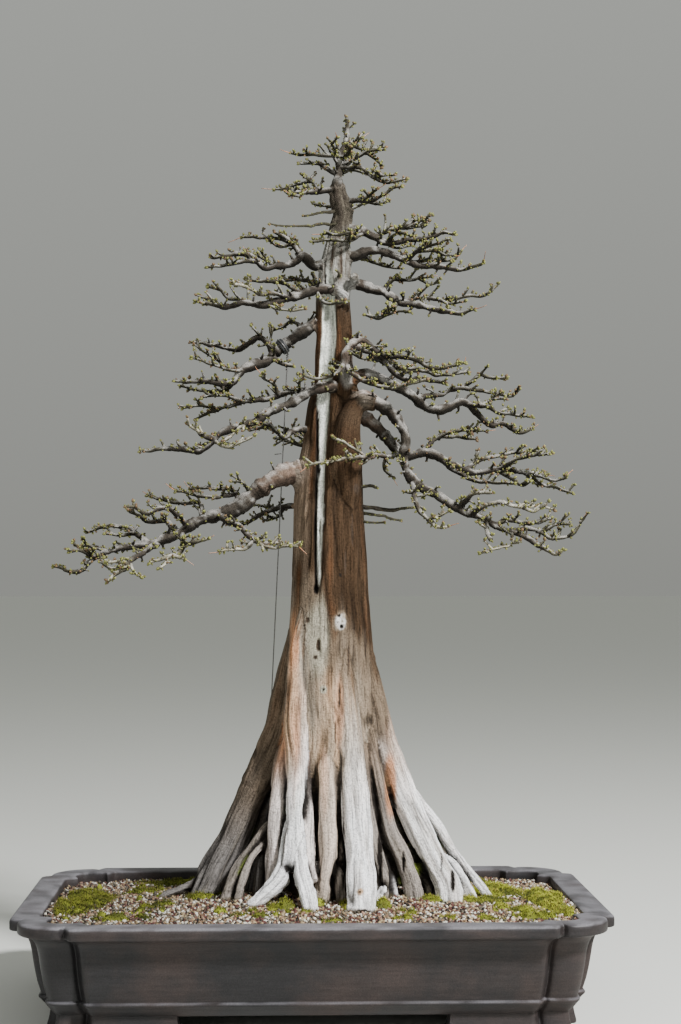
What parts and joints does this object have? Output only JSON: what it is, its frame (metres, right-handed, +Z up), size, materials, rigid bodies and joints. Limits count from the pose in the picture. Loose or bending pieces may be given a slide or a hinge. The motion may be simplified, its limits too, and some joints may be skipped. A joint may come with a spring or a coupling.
{
  "type": "potted bonsai tree",
  "caption": "Bare conifer bonsai with a tapering buttressed trunk, tiered budding limbs and a bleached strip of deadwood, in a lobed rectangular stoneware pot on corner feet.",
  "frame": {"origin": "middle of the pot's footprint, at the level of the undersides of its feet", "axes": "+Z up along the trunk, +X along the pot's length, -Y towards the front of the tree"},
  "size_m": [0.706, 0.47, 1.1127],
  "materials": {
    "pot_clay": "unglazed dark stoneware, worn along its rim",
    "soil_grit": "loose grit in white, cream, pink, grey and maroon",
    "moss_green": "short living moss",
    "trunk_bark": "fibrous red-brown bark with grey crests and a bleached strip of deadwood",
    "twig_bark": "grey-brown bark with yellow-green buds",
    "screen_plastic": "black net",
    "wire_steel": "weathered zinc",
    "pad_rubber": "matt black sleeve"
  },
  "bodies": {
    "root": {"pot": "pot_clay", "drain_screen_left": "screen_plastic", "drain_screen_right": "screen_plastic", "soil": "soil_grit", "moss_right": "moss_green", "moss_left": "moss_green", "moss_back_right": "moss_green", "moss_back_left": "moss_green", "moss_front": "moss_green", "trunk": "trunk_bark", "crown": "twig_bark", "limb_left_1": "twig_bark", "limb_left_2": "twig_bark", "limb_left_3": "twig_bark", "limb_left_4": "twig_bark", "limb_left_5": "twig_bark", "limb_left_6": "twig_bark", "limb_left_low": "twig_bark", "limb_left_rear": "twig_bark", "limb_right_1": "twig_bark", "limb_right_2": "twig_bark", "limb_right_3": "twig_bark", "limb_right_4": "twig_bark", "limb_right_5": "twig_bark", "limb_right_6": "twig_bark", "limb_right_7": "twig_bark", "limb_right_low": "twig_bark", "limb_back_1": "twig_bark", "limb_back_2": "twig_bark", "limb_back_3": "twig_bark", "limb_back_4": "twig_bark", "guy_wire": "wire_steel", "guy_pad": "pad_rubber"}
  },
  "joints": []
}
